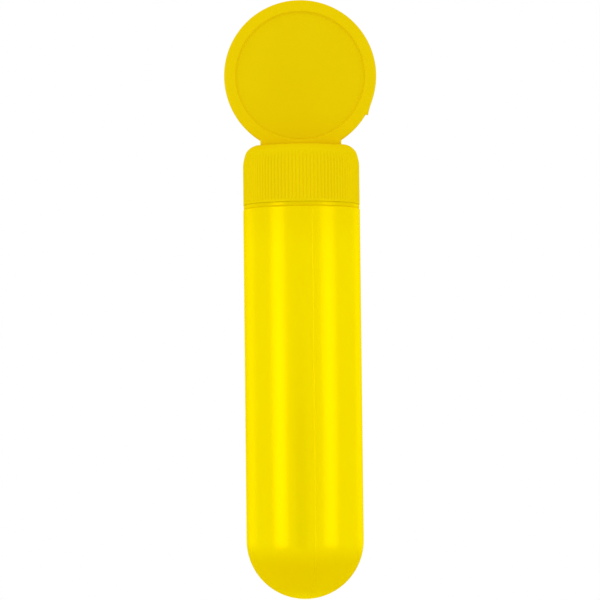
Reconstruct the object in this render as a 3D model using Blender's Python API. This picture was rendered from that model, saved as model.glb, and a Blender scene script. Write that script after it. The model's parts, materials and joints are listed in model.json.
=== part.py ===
"""Bubble blower: a round-ended bottle with a screw cap, a grip disc on the cap and a dipping wand inside.

The bottle's axis is +Z and its round end touches the origin. The grip disc faces -Y.
Sizes are in metres. Each piece is one closed solid under its own name.
"""

import math

import bmesh
import bpy
from mathutils import Matrix

MM = 0.001

# Bottle: blown, with a half-round bottom and a threaded neck
BOTTLE_RADIUS = 14.6 * MM
BOTTLE_WALL = 0.9 * MM
SHOULDER_HEIGHT = 98.05 * MM
SHOULDER_ROUND = 0.7 * MM
NECK_WALL = 1.0 * MM
NECK_FILLET = 0.4 * MM
RIM_CHAMFER = 0.25 * MM

# Screw thread, shared by the neck and the cap
THREAD_PITCH = 3.0 * MM
THREAD_TURNS = 1.5
THREAD_DEPTH = 1.0 * MM
THREAD_ROOT_WIDTH = 1.5 * MM
THREAD_CREST_WIDTH = 0.7 * MM
THREAD_START = 2.8 * MM
THREAD_RADIAL_GAP = 0.2 * MM
THREAD_BIAS = 0.35 * MM
THREAD_EMBED = 0.4 * MM
THREAD_RUN_OUT = 40.0

# Screw cap: moulded, ribbed for grip, closed on top
CAP_HEIGHT = 15.35 * MM
CAP_WALL = 1.45 * MM
CAP_STEP_IN = 0.05 * MM
CAP_SHOULDER_ROUND = 4.6 * MM
CAP_TOP_WALL = 1.4 * MM
CAP_SEAT_DEPTH = 2.95 * MM
CAP_SEAT_WIDTH = 4.0 * MM
CAP_SEAT_CHAMFER = 0.45 * MM
CAP_LEAD_IN = 0.25 * MM
CAP_EDGE_GAP = 0.1 * MM
CAP_BAND_HEIGHT = 0.45 * MM
RIB_COUNT = 100
RIB_DEPTH = 0.3 * MM
RIB_TOP_DROP = 3.2 * MM
RIB_FADE = 0.25 * MM

# Sealing ring, loose between the neck's rim and the cap's seat
SEAL_THICKNESS = 1.0 * MM
SEAL_EDGE_GAP = 0.6 * MM
SEAL_BOSS_GAP = 0.35 * MM
FACE_GAP = 0.05 * MM

# Grip disc, with a sunk round panel on both faces
DISC_RADIUS = 19.05 * MM
DISC_THICKNESS = 2.5 * MM
DISC_EDGE_ROUND = 0.5 * MM
DISC_SINK = 2.0 * MM
RIM_WIDTH = 3.0 * MM
PANEL_RECESS = 0.4 * MM
PANEL_DRAFT = 0.12 * MM
FOOT_WIDTH = 20.25 * MM
FOOT_THICKNESS = 2.1 * MM
FOOT_OVERLAP = 1.7 * MM
TONGUE_WIDTH = 12.0 * MM
TONGUE_THICKNESS = 1.8 * MM
TONGUE_LENGTH = 2.8 * MM
GATE_ANGLE = -29.8
GATE_SPAN = 13.0
GATE_HEIGHT = 0.55 * MM
GATE_THICKNESS = 1.2 * MM

# Bosses under the cap's ceiling, which hold the disc's tongue and the wand's plug
POCKET_WALL = 1.2 * MM
POCKET_FLOOR = 1.05 * MM
SOCKET_LENGTH = 5.0 * MM
SOCKET_WALL = 1.3 * MM
SOCKET_ROOF = 0.8 * MM
SNUG_GAP = 0.1 * MM
SNAP_HEIGHT = 0.3 * MM
SNAP_DEPTH = 2.2 * MM

# Dipping wand: a cross-section stick with a toothed ring
PLUG_RADIUS = 1.9 * MM
PLUG_CHAMFER = 0.3 * MM
COLLAR_RADIUS = 3.0 * MM
COLLAR_THICKNESS = 0.9 * MM
STICK_WIDTH_TOP = 3.8 * MM
STICK_WIDTH_END = 3.0 * MM
STICK_WEB = 1.2 * MM
LOOP_NECK_GAP = 1.6 * MM
LOOP_BAND = 2.4 * MM
LOOP_FLOOR_GAP = 7.3 * MM
LOOP_THICKNESS = 1.6 * MM
TOOTH_COUNT = 24
TOOTH_HEIGHT = 0.9 * MM
JOIN_OVERLAP = 0.5 * MM

# Smoothness of round shapes
ROUND_SEGMENTS = 48
DISC_SEGMENTS = 64
SMALL_SEGMENTS = 24
SMOOTH_ANGLE = math.radians(35)

# Sizes and heights that follow from those above
CAP_RADIUS = BOTTLE_RADIUS - CAP_STEP_IN
CAP_BORE = CAP_RADIUS - CAP_WALL
THREAD_CREST_RADIUS = CAP_BORE - THREAD_RADIAL_GAP
NECK_RADIUS = THREAD_CREST_RADIUS - THREAD_DEPTH
NECK_BORE = NECK_RADIUS - NECK_WALL
CAP_EDGE_Z = SHOULDER_HEIGHT + CAP_EDGE_GAP
CAP_TOP_Z = CAP_EDGE_Z + CAP_HEIGHT
CAP_CEILING_Z = CAP_TOP_Z - CAP_TOP_WALL
CAP_SEAT_Z = CAP_TOP_Z - CAP_SEAT_DEPTH
SEAL_TOP_Z = CAP_SEAT_Z - FACE_GAP
SEAL_BASE_Z = SEAL_TOP_Z - SEAL_THICKNESS
NECK_RIM_Z = SEAL_BASE_Z - FACE_GAP
NECK_THREAD_Z = SHOULDER_HEIGHT + THREAD_START
CAP_THREAD_Z = NECK_THREAD_Z - THREAD_PITCH / 2 + THREAD_BIAS
FOOT_BASE_Z = CAP_TOP_Z + FACE_GAP
TONGUE_END_Z = FOOT_BASE_Z - TONGUE_LENGTH
DISC_CENTRE_Z = CAP_TOP_Z + DISC_RADIUS - DISC_SINK
PANEL_RADIUS = DISC_RADIUS - RIM_WIDTH
POCKET_FLOOR_Z = TONGUE_END_Z - SNUG_GAP
POCKET_BOSS_END_Z = POCKET_FLOOR_Z - POCKET_FLOOR
SOCKET_END_Z = POCKET_BOSS_END_Z - SOCKET_LENGTH
SOCKET_ROOF_Z = POCKET_BOSS_END_Z - SOCKET_ROOF
SOCKET_BORE = PLUG_RADIUS + SNUG_GAP
PLUG_TOP_Z = SOCKET_ROOF_Z - SNUG_GAP
COLLAR_TOP_Z = SOCKET_END_Z - SNUG_GAP
LOOP_RADIUS = NECK_BORE - LOOP_NECK_GAP
LOOP_CENTRE_Z = BOTTLE_WALL + LOOP_FLOOR_GAP + LOOP_RADIUS

YELLOW_GLOSS = (0.92, 0.72, 0.0, 1.0)
YELLOW_MATT = (0.80, 0.60, 0.0, 1.0)
LINER_WHITE = (0.80, 0.80, 0.76, 1.0)


def arc(centre_radius, centre_z, radius, start, end, steps):
    """Points (distance from the axis, height) on an arc from start to end, in degrees from outwards."""
    angles = [math.radians(start + (end - start) * i / steps) for i in range(steps + 1)]
    return [(centre_radius + radius * math.cos(a), centre_z + radius * math.sin(a)) for a in angles]


def ring(mesh, radius, height, count):
    """Vertices of a level circle round Z, or the one vertex on the axis."""
    if radius <= 0:
        return [mesh.verts.new((0, 0, height))]
    turn = 2 * math.pi / count
    return [
        mesh.verts.new((radius * math.cos(i * turn), radius * math.sin(i * turn), height))
        for i in range(count)
    ]


def stitch(mesh, first, second):
    """Faces between two closed rings that start at one angle, whatever their counts."""
    a, b = len(first), len(second)
    i = j = 0
    while i < a or j < b:
        if i < a and j < b and a == b:
            corners = [first[i], first[(i + 1) % a], second[(j + 1) % b], second[j]]
            i, j = i + 1, j + 1
        elif j >= b or (i < a and (i + 1) * b <= (j + 1) * a):
            corners = [first[i], first[(i + 1) % a], second[j % b]]
            i += 1
        else:
            corners = [first[i % a], second[(j + 1) % b], second[j]]
            j += 1
        corners = list(dict.fromkeys(corners))
        if len(corners) > 2:
            mesh.faces.new(corners)


def loft(mesh, rings, closed=False):
    """Skins the rings in order, and back to the first one if closed."""
    for first, second in zip(rings, rings[1:]):
        stitch(mesh, first, second)
    if closed:
        stitch(mesh, rings[-1], rings[0])


def material(name, colour, roughness):
    """A plastic finish of that colour."""
    made = bpy.data.materials.new(name)
    made.use_nodes = True
    shader = made.node_tree.nodes["Principled BSDF"]
    shader.inputs["Base Color"].default_value = colour
    shader.inputs["Roughness"].default_value = roughness
    shader.inputs["Metallic"].default_value = 0.0
    made.diffuse_color = colour
    return made


def finish(mesh, name, finish_material=None):
    """Turns the bmesh into an object with its faces pointing out."""
    bmesh.ops.recalc_face_normals(mesh, faces=mesh.faces)
    data = bpy.data.meshes.new(name)
    mesh.to_mesh(data)
    mesh.free()
    data.shade_smooth()
    data.set_sharp_from_angle(angle=SMOOTH_ANGLE)
    made = bpy.data.objects.new(name, data)
    bpy.context.scene.collection.objects.link(made)
    if finish_material:
        data.materials.append(finish_material)
    return made


def turned(name, profile, segments, finish_material=None, closed=False):
    """A solid turned round Z from (radius, height) points. A closed profile is a ring with a hole."""
    mesh = bmesh.new()
    loft(mesh, [ring(mesh, radius, height, segments) for radius, height in profile], closed)
    return finish(mesh, name, finish_material)


def block(name, size, centre):
    """A plain box of that size."""
    mesh = bmesh.new()
    place = Matrix.Translation(centre) @ Matrix.Diagonal((*size, 1))
    bmesh.ops.create_cube(mesh, size=1, matrix=place)
    return finish(mesh, name)


def helper(made):
    """A shape that only cuts or joins another one."""
    made.hide_render = True
    made.display_type = "WIRE"
    return made


def combine(target, operation, tool):
    """Adds a Boolean that cuts the tool from the target, or joins it to it."""
    step = target.modifiers.new(tool.name, "BOOLEAN")
    step.operation = operation
    step.solver = "EXACT"
    step.object = helper(tool)


def thread_ridge(name, wall_radius, crest_radius, base_z):
    """A helical ridge that rises out of a wall and sinks back into it at both ends."""
    towards_crest = 1 if crest_radius > wall_radius else -1
    buried = wall_radius - towards_crest * THREAD_EMBED
    hidden = wall_radius - towards_crest * THREAD_EMBED / 2
    stations = round(THREAD_TURNS * ROUND_SEGMENTS)
    mesh = bmesh.new()
    sections = []
    for i in range(stations + 1):
        angle = 2 * math.pi * i / ROUND_SEGMENTS
        from_end = math.degrees(min(i, stations - i) * 2 * math.pi / ROUND_SEGMENTS)
        rise = min(1, from_end / THREAD_RUN_OUT)
        crest = hidden + (crest_radius - hidden) * rise
        middle = base_z + THREAD_PITCH * i / ROUND_SEGMENTS
        corners = [
            (buried, middle - THREAD_ROOT_WIDTH / 2),
            (crest, middle - THREAD_CREST_WIDTH / 2),
            (crest, middle + THREAD_CREST_WIDTH / 2),
            (buried, middle + THREAD_ROOT_WIDTH / 2),
        ]
        sections.append(
            [mesh.verts.new((r * math.cos(angle), r * math.sin(angle), z)) for r, z in corners]
        )
    loft(mesh, sections)
    mesh.faces.new(sections[0])
    mesh.faces.new(sections[-1])
    return finish(mesh, name)


def make_bottle():
    """The blown bottle: one wall, open at the rim, with the thread joined to its neck."""
    inner_radius = BOTTLE_RADIUS - BOTTLE_WALL
    under_shoulder = SHOULDER_HEIGHT - BOTTLE_WALL
    inner_round = max(SHOULDER_ROUND - BOTTLE_WALL, SHOULDER_ROUND / 2)
    outside = arc(0, BOTTLE_RADIUS, BOTTLE_RADIUS, -90, 0, 8)
    outside += arc(
        BOTTLE_RADIUS - SHOULDER_ROUND, SHOULDER_HEIGHT - SHOULDER_ROUND, SHOULDER_ROUND, 0, 90, 3
    )
    neck = [
        (NECK_RADIUS + NECK_FILLET, SHOULDER_HEIGHT),
        (NECK_RADIUS, SHOULDER_HEIGHT + NECK_FILLET),
        (NECK_RADIUS, NECK_RIM_Z - RIM_CHAMFER),
        (NECK_RADIUS - RIM_CHAMFER, NECK_RIM_Z),
        (NECK_BORE, NECK_RIM_Z),
    ]
    inside = [(NECK_BORE, under_shoulder)]
    inside += arc(inner_radius - inner_round, under_shoulder - inner_round, inner_round, 90, 0, 2)
    inside += arc(0, BOTTLE_RADIUS, inner_radius, 0, -90, 7)
    profile = [(0.0, 0.0), *outside[1:], *neck, *inside[:-1], (0.0, BOTTLE_WALL)]
    bottle = turned("bottle", profile, ROUND_SEGMENTS, material("glossy_bottle", YELLOW_GLOSS, 0.22))
    combine(bottle, "UNION", thread_ridge("neck_thread", NECK_RADIUS, THREAD_CREST_RADIUS, NECK_THREAD_Z))
    return bottle


def ribbed_ring(mesh, radius, height, depth, slope):
    """A circle of rib crests and roots in turn. Roots lie depth deep, square to a wall of that slope."""
    points = []
    for i in range(2 * RIB_COUNT):
        sunk = depth if i % 2 else 0.0
        reach = radius - sunk * math.cos(slope)
        turn = math.pi * i / RIB_COUNT
        points.append(
            mesh.verts.new(
                (reach * math.cos(turn), reach * math.sin(turn), height - sunk * math.sin(slope))
            )
        )
    return points


def cap_outside(mesh):
    """Rings of the cap's outer surface from the middle of its top to its lower edge."""
    round_centre = CAP_RADIUS - CAP_SHOULDER_ROUND
    round_z = CAP_TOP_Z - CAP_SHOULDER_ROUND
    rib_top = math.asin((CAP_TOP_Z - RIB_TOP_DROP - round_z) / CAP_SHOULDER_ROUND)
    fade = RIB_FADE / CAP_SHOULDER_ROUND
    rings = [ring(mesh, 0, CAP_TOP_Z, 1)]
    for slope in (math.pi / 2, (math.pi / 2 + rib_top) / 2):
        radius = round_centre + CAP_SHOULDER_ROUND * math.cos(slope)
        height = round_z + CAP_SHOULDER_ROUND * math.sin(slope)
        rings.append(ring(mesh, radius, height, ROUND_SEGMENTS))
    steps = 3
    slopes = [(rib_top + fade, 0.0)]
    slopes += [(rib_top * (steps - i) / steps, RIB_DEPTH) for i in range(steps + 1)]
    for slope, depth in slopes:
        radius = round_centre + CAP_SHOULDER_ROUND * math.cos(slope)
        height = round_z + CAP_SHOULDER_ROUND * math.sin(slope)
        rings.append(ribbed_ring(mesh, radius, height, depth, slope))
    band_top = CAP_EDGE_Z + CAP_BAND_HEIGHT
    rings.append(ribbed_ring(mesh, CAP_RADIUS, band_top + RIB_FADE, RIB_DEPTH, 0.0))
    rings.append(ribbed_ring(mesh, CAP_RADIUS, band_top, 0.0, 0.0))
    rings.append(ring(mesh, CAP_RADIUS, CAP_EDGE_Z, ROUND_SEGMENTS))
    return rings


def cap_inside():
    """The cap's inner outline from its lower edge to the middle of the ceiling."""
    return [
        (CAP_BORE + CAP_LEAD_IN, CAP_EDGE_Z),
        (CAP_BORE, CAP_EDGE_Z + CAP_LEAD_IN),
        (CAP_BORE, CAP_SEAT_Z - CAP_SEAT_CHAMFER),
        (CAP_BORE - CAP_SEAT_CHAMFER, CAP_SEAT_Z),
        (CAP_BORE - CAP_SEAT_WIDTH, CAP_SEAT_Z),
        (CAP_BORE - CAP_SEAT_WIDTH, CAP_CEILING_Z),
        (0.0, CAP_CEILING_Z),
    ]


def make_cap():
    """The ribbed screw cap, with a pocket on top for the disc and a socket below for the wand."""
    mesh = bmesh.new()
    rings = cap_outside(mesh)
    rings += [ring(mesh, radius, height, ROUND_SEGMENTS) for radius, height in cap_inside()]
    loft(mesh, rings)
    cap = finish(mesh, "screw_cap", material("matt_cap", YELLOW_MATT, 0.42))

    combine(cap, "UNION", thread_ridge(
        "cap_thread", CAP_BORE, NECK_RADIUS + THREAD_RADIAL_GAP, CAP_THREAD_Z
    ))
    boss_top = CAP_CEILING_Z + JOIN_OVERLAP
    boss_size = (pocket_boss_length(), pocket_boss_width(), boss_top - POCKET_BOSS_END_Z)
    combine(cap, "UNION", block(
        "pocket_boss", boss_size, (0, 0, (boss_top + POCKET_BOSS_END_Z) / 2)
    ))
    socket = turned(
        "socket_boss",
        [
            (0.0, POCKET_BOSS_END_Z + JOIN_OVERLAP),
            (SOCKET_BORE + SOCKET_WALL, POCKET_BOSS_END_Z + JOIN_OVERLAP),
            (SOCKET_BORE + SOCKET_WALL, SOCKET_END_Z),
            (SOCKET_BORE, SOCKET_END_Z),
            *reversed(snap_points(SOCKET_BORE, SNAP_HEIGHT)),
            (SOCKET_BORE, SOCKET_ROOF_Z),
            (0.0, SOCKET_ROOF_Z),
        ],
        SMALL_SEGMENTS,
    )
    combine(cap, "UNION", socket)
    pocket_top = CAP_TOP_Z + JOIN_OVERLAP
    pocket_size = (
        TONGUE_WIDTH + 2 * SNUG_GAP, TONGUE_THICKNESS + 2 * SNUG_GAP, pocket_top - POCKET_FLOOR_Z
    )
    combine(cap, "DIFFERENCE", block(
        "tongue_pocket", pocket_size, (0, 0, (pocket_top + POCKET_FLOOR_Z) / 2)
    ))
    return cap


def snap_points(radius, rise):
    """The plug's snap bead, or the socket's groove for it, as points from the top down."""
    middle = SOCKET_END_Z + SNAP_DEPTH
    return [
        (radius, middle + SNAP_HEIGHT), (radius + rise, middle), (radius, middle - SNAP_HEIGHT)
    ]


def pocket_boss_length():
    """Length along X of the boss round the tongue's pocket."""
    return TONGUE_WIDTH + 2 * (SNUG_GAP + POCKET_WALL)


def pocket_boss_width():
    """Width along Y of the same boss, wide enough to carry the wand's socket."""
    around_tongue = TONGUE_THICKNESS + 2 * (SNUG_GAP + POCKET_WALL)
    return max(around_tongue, 2 * (SOCKET_BORE + SOCKET_WALL) - JOIN_OVERLAP)


def make_seal():
    """The flat sealing ring between the neck's rim and the cap's seat, clear of the pocket's boss."""
    hole = math.hypot(pocket_boss_length(), pocket_boss_width()) / 2 + SEAL_BOSS_GAP
    edge = CAP_BORE - SEAL_EDGE_GAP
    profile = [(hole, SEAL_BASE_Z), (edge, SEAL_BASE_Z), (edge, SEAL_TOP_Z), (hole, SEAL_TOP_Z)]
    liner = material("soft_liner", LINER_WHITE, 0.7)
    return turned("sealing_ring", profile, ROUND_SEGMENTS, liner, closed=True)


def gate_stub():
    """The broken-off moulding gate on the disc's edge, a small wedge that ends in a step."""
    root = DISC_RADIUS - JOIN_OVERLAP
    start, end = math.radians(GATE_ANGLE + GATE_SPAN), math.radians(GATE_ANGLE)
    corners = [
        (root, start),
        (DISC_RADIUS, start),
        (DISC_RADIUS + GATE_HEIGHT, end),
        (root, end),
    ]
    mesh = bmesh.new()
    sides = [
        [mesh.verts.new((r * math.cos(a), y, DISC_CENTRE_Z + r * math.sin(a))) for r, a in corners]
        for y in (-GATE_THICKNESS / 2, GATE_THICKNESS / 2)
    ]
    loft(mesh, sides)
    for side in sides:
        mesh.faces.new(side)
    return finish(mesh, "gate_stub")


def panel_cutter(name, side):
    """The shallow round recess on one face of the disc."""
    floor = DISC_THICKNESS / 2 - PANEL_RECESS
    beyond = DISC_THICKNESS / 2 + PANEL_RECESS
    mesh = bmesh.new()
    profile = [
        (0.0, floor),
        (PANEL_RADIUS - PANEL_DRAFT, floor),
        (PANEL_RADIUS + PANEL_DRAFT, beyond),
        (0.0, beyond),
    ]
    loft(mesh, [ring(mesh, radius, height, DISC_SEGMENTS) for radius, height in profile])
    face_it = Matrix.Rotation(side * math.pi / 2, 4, "X")
    mesh.transform(Matrix.Translation((0, 0, DISC_CENTRE_Z)) @ face_it)
    return finish(mesh, name)


def make_disc():
    """The round grip disc, cut flat below, with a foot on the cap and a tongue in its pocket."""
    half = DISC_THICKNESS / 2
    edge = arc(DISC_RADIUS - DISC_EDGE_ROUND, half - DISC_EDGE_ROUND, DISC_EDGE_ROUND, 90, 0, 2)
    profile = [(0.0, half), *edge, *[(r, -y) for r, y in reversed(edge)], (0.0, -half)]
    mesh = bmesh.new()
    loft(mesh, [ring(mesh, radius, height, DISC_SEGMENTS) for radius, height in profile])
    mesh.transform(
        Matrix.Translation((0, 0, DISC_CENTRE_Z)) @ Matrix.Rotation(math.pi / 2, 4, "X")
    )
    disc = finish(mesh, "grip_disc", material("matt_disc", YELLOW_MATT, 0.40))

    combine(disc, "DIFFERENCE", block(
        "disc_trim",
        (2 * DISC_RADIUS, 2 * DISC_THICKNESS, DISC_RADIUS),
        (0, 0, FOOT_BASE_Z - DISC_RADIUS / 2),
    ))
    foot_top = FOOT_BASE_Z + FOOT_OVERLAP
    combine(disc, "UNION", block(
        "disc_foot",
        (FOOT_WIDTH, FOOT_THICKNESS, FOOT_OVERLAP),
        (0, 0, (foot_top + FOOT_BASE_Z) / 2),
    ))
    tongue_top = FOOT_BASE_Z + JOIN_OVERLAP
    combine(disc, "UNION", block(
        "disc_tongue",
        (TONGUE_WIDTH, TONGUE_THICKNESS, tongue_top - TONGUE_END_Z),
        (0, 0, (tongue_top + TONGUE_END_Z) / 2),
    ))
    combine(disc, "UNION", gate_stub())
    combine(disc, "DIFFERENCE", panel_cutter("front_panel", 1))
    combine(disc, "DIFFERENCE", panel_cutter("back_panel", -1))
    return disc


def cross_section(mesh, width, height):
    """The twelve corners of the stick's plus-shaped section at one height."""
    w, t = width / 2, STICK_WEB / 2
    quarter = [(w, -t), (w, t), (t, t)]
    corners = []
    for turn in range(4):
        c, s = (1, 0, -1, 0)[turn], (0, 1, 0, -1)[turn]
        corners += [(c * x - s * y, s * x + c * y) for x, y in quarter]
    return [mesh.verts.new((x, y, height)) for x, y in corners]


def wand_loop():
    """The ring that holds the soap film, with teeth on both faces that carry the liquid."""
    mesh = bmesh.new()
    stations = []
    for i in range(4 * TOOTH_COUNT):
        angle = 2 * math.pi * (i + 0.5) / (4 * TOOTH_COUNT)
        half = LOOP_THICKNESS / 2 + (TOOTH_HEIGHT if i % 4 < 2 else 0.0)
        corners = [
            (LOOP_RADIUS, -half), (LOOP_RADIUS, half),
            (LOOP_RADIUS - LOOP_BAND, half), (LOOP_RADIUS - LOOP_BAND, -half),
        ]
        stations.append([
            mesh.verts.new((r * math.cos(angle), y, LOOP_CENTRE_Z + r * math.sin(angle)))
            for r, y in corners
        ])
    loft(mesh, stations, closed=True)
    return finish(mesh, "wand_loop")


def make_wand():
    """The dipping wand: plug and collar at the top, a tapering cross stick, and the ring."""
    mesh = bmesh.new()
    stick_end = LOOP_CENTRE_Z + LOOP_RADIUS - LOOP_BAND / 2
    sections = [
        cross_section(mesh, STICK_WIDTH_END, stick_end),
        cross_section(mesh, STICK_WIDTH_TOP, COLLAR_TOP_Z - COLLAR_THICKNESS / 2),
    ]
    loft(mesh, sections)
    for section in sections:
        mesh.faces.new(section)
    wand = finish(mesh, "wand", material("matt_wand", YELLOW_MATT, 0.38))
    plug = turned(
        "wand_plug",
        [
            (0.0, COLLAR_TOP_Z - COLLAR_THICKNESS),
            (COLLAR_RADIUS, COLLAR_TOP_Z - COLLAR_THICKNESS),
            (COLLAR_RADIUS, COLLAR_TOP_Z),
            (PLUG_RADIUS, COLLAR_TOP_Z),
            *reversed(snap_points(PLUG_RADIUS, SNAP_HEIGHT)),
            (PLUG_RADIUS, PLUG_TOP_Z - PLUG_CHAMFER),
            (PLUG_RADIUS - PLUG_CHAMFER, PLUG_TOP_Z),
            (0.0, PLUG_TOP_Z),
        ],
        SMALL_SEGMENTS,
    )
    combine(wand, "UNION", plug)
    combine(wand, "UNION", wand_loop())
    return wand


def joint_axis(name, height, parent):
    """An empty on the bottle's axis whose arrow marks a joint that moves what it carries."""
    marker = bpy.data.objects.new(name, None)
    marker.empty_display_type = "SINGLE_ARROW"
    marker.empty_display_size = CAP_RADIUS
    marker.location = (0, 0, height)
    bpy.context.scene.collection.objects.link(marker)
    carry(marker, parent)
    return marker


def carry(child, parent):
    """Parents the child where it stands."""
    bpy.context.view_layer.update()
    child.parent = parent
    child.matrix_parent_inverse = parent.matrix_world.inverted()


def main():
    for old in list(bpy.data.objects):
        bpy.data.objects.remove(old)
    bottle = make_bottle()
    seal = make_seal()
    wand = make_wand()
    cap = make_cap()
    disc = make_disc()
    # The ring lifts off the neck, the wand rises out of it as the thread runs, the cap turns on both
    carry(seal, joint_axis("closure_lift", NECK_RIM_Z, bottle))
    carry(wand, joint_axis("cap_rise", SEAL_TOP_Z, seal))
    carry(cap, joint_axis("cap_turn", CAP_EDGE_Z, wand))
    carry(disc, cap)


main()
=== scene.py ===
# %% [markdown]
# # Dressing a bubble blower
#
# A bubble blower is a small bottle of soap solution with a dipping wand that hangs from its cap.
# This one is all yellow: a glossy blown bottle, and a satin cap, grip disc and wand from a mould.
# One colour on every piece means that shape and finish must do the work, so each rounded edge, rib
# and seam is modelled, and each plastic gets its own gloss.
#
# The construction comes packed as a frame of plain solids. Each cell below replaces one solid with a
# finer mesh of the same size. All lengths are in metres, and +Z runs up the bottle's axis.

# %% Load the frame
import json
import math

import bmesh
import bpy
from mathutils import Matrix, Vector

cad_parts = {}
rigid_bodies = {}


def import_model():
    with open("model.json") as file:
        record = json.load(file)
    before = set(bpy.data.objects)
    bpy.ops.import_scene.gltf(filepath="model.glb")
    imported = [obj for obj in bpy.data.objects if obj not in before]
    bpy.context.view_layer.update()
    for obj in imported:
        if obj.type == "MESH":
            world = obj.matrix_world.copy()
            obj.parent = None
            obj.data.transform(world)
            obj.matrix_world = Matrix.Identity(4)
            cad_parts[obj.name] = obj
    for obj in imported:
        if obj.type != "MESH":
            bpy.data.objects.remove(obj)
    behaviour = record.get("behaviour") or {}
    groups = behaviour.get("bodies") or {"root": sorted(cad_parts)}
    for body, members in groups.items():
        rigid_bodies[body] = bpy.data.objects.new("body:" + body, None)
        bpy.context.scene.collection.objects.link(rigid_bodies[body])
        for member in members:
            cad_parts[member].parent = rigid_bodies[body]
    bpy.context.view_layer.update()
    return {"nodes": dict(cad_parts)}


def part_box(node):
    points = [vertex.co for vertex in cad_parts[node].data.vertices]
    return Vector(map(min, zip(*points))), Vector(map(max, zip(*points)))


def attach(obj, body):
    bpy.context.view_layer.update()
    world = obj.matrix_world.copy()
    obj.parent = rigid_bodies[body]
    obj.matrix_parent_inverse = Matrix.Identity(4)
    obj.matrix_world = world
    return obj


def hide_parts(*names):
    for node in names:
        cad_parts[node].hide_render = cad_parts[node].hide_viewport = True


MM = 0.001
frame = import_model()
for name in sorted(frame["nodes"]):
    low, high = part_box(name)
    print(name, "is", [round(side / MM, 1) for side in high - low], "mm, from z", round(low.z / MM, 2))

# %% [markdown]
# ## The sizes that pieces share
#
# A cap must fit its neck, and a disc its cap. Writing the same number twice is how models drift
# apart, so what the frame can tell is read from it, and only what lies inside a solid is written here.

# %% Shared sizes
bottle_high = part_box("bottle")[1]
cap_low, cap_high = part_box("screw_cap")
disc_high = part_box("grip_disc")[1]
wand_low, wand_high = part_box("wand")
ring_low, ring_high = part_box("sealing_ring")

BOTTLE_RADIUS = bottle_high.y
RIM_Z = bottle_high.z
SHOULDER_Z = cap_low.z - 0.1 * MM
BOTTLE_WALL = 0.9 * MM
NECK_RADIUS = 11.9 * MM
NECK_BORE = 10.9 * MM

CAP_RADIUS = cap_high.y
CAP_EDGE_Z = cap_low.z
CAP_TOP_Z = cap_high.z
CAP_BORE = CAP_RADIUS - 1.45 * MM
CEILING_Z = CAP_TOP_Z - 1.4 * MM
SEAT_Z = ring_high.z + 0.05 * MM

DISC_RADIUS = disc_high.x
DISC_HALF = disc_high.y
DISC_CENTRE_Z = disc_high.z - DISC_RADIUS
FOOT_Z = CAP_TOP_Z + 0.05 * MM
FOOT_HALF = 10.125 * MM
CROWN_DROP = 0.32 * MM

THREAD_PITCH = 3.0 * MM
THREAD_TURNS = 1.5
NECK_THREAD_Z = SHOULDER_Z + 2.8 * MM
CAP_THREAD_Z = NECK_THREAD_Z - 1.15 * MM
print("cap", round((CAP_TOP_Z - CAP_EDGE_Z) / MM, 2), "mm tall on a neck of", round(2 * NECK_RADIUS / MM, 1))

# %% [markdown]
# ## The camera
#
# The picture to match looks as if it was taken from straight in front with a long lens, level with the
# middle of the bottle: the cap's lower edge curves upwards, which hints at the height of the eye. The
# bottle leans by 0.6 degrees in the frame, and a small roll of the camera gives that lean without moving
# the part.

# %% Camera
CAMERA_DISTANCE = 600 * MM
CAMERA_HEIGHT = 54.5 * MM
AIM_HEIGHT = 74.42 * MM
AIM_SIDE = -0.64 * MM
SENSOR = 36.0
FRAME_HEIGHT = 149.95 * MM
ROLL = math.radians(0.62)

lens = SENSOR * MM * math.hypot(CAMERA_DISTANCE, AIM_HEIGHT - CAMERA_HEIGHT) / FRAME_HEIGHT / MM
camera_data = bpy.data.cameras.new("front camera")
camera_data.sensor_width = SENSOR
camera_data.lens = lens
camera_data.clip_start = 0.01
camera = bpy.data.objects.new("front camera", camera_data)
bpy.context.scene.collection.objects.link(camera)
camera.location = (AIM_SIDE, -CAMERA_DISTANCE, CAMERA_HEIGHT)
aim = Vector((AIM_SIDE, 0, AIM_HEIGHT)) - camera.location
turn = aim.to_track_quat("-Z", "Y").to_matrix() @ Matrix.Rotation(-ROLL, 3, "Z")
camera.rotation_euler = turn.to_euler()
bpy.context.scene.camera = camera
print("lens", round(lens, 1), "mm")

# %% [markdown]
# ## Colours
#
# A picture's colours are written in sRGB, the way a screen shows them, and Blender computes in linear
# light. One function turns a hex value from the first into the second, so that every colour in this
# file can be read off a colour chart.


# %% Colour function
def colour(hex_value):
    """Linear red, green, blue and alpha of an sRGB hex value such as "f2d400"."""
    channels = [int(hex_value[i:i + 2], 16) / 255 for i in (0, 2, 4)]
    linear = [c / 12.92 if c <= 0.04045 else ((c + 0.055) / 1.055) ** 2.4 for c in channels]
    return (*linear, 1.0)


# %% [markdown]
# ## One helper for every node
#
# Materials and Geometry Nodes are both graphs. This helper adds a node, sets its options, and fills
# each input with a value or with another node's output, so a graph reads as a list of steps.


# %% Node helper
def add(tree, kind, options=None, inputs=None):
    """Adds a node to a tree. An input is given by name or number, as a value or as an output."""
    made = tree.nodes.new(kind)
    for option, value in (options or {}).items():
        setattr(made, option, value)
    for key, value in (inputs or {}).items():
        if isinstance(value, bpy.types.NodeSocket):
            tree.links.new(value, made.inputs[key])
        else:
            made.inputs[key].default_value = value
    return made


# %% [markdown]
# ## Plastics
#
# All pieces but the seal are polypropylene, which refracts like most plastics at 1.49. What differs is
# the surface. A blown bottle cools against a polished mould and comes out glossy, with slow waves where
# the wall settled. A moulded cap copies a fine spark-eroded texture, which spreads its highlight.
# The pigment lets a little light through the wall, and that scattering is the subsurface weight.
#
# In the picture even the brightest highlight is yellow and no edge turns pale, while real plastic
# reflects white. So the white reflection is switched off, and a small metallic share, whose reflection
# takes the pigment's colour, makes the gloss. It is a stand-in: polypropylene holds no metal.


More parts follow.
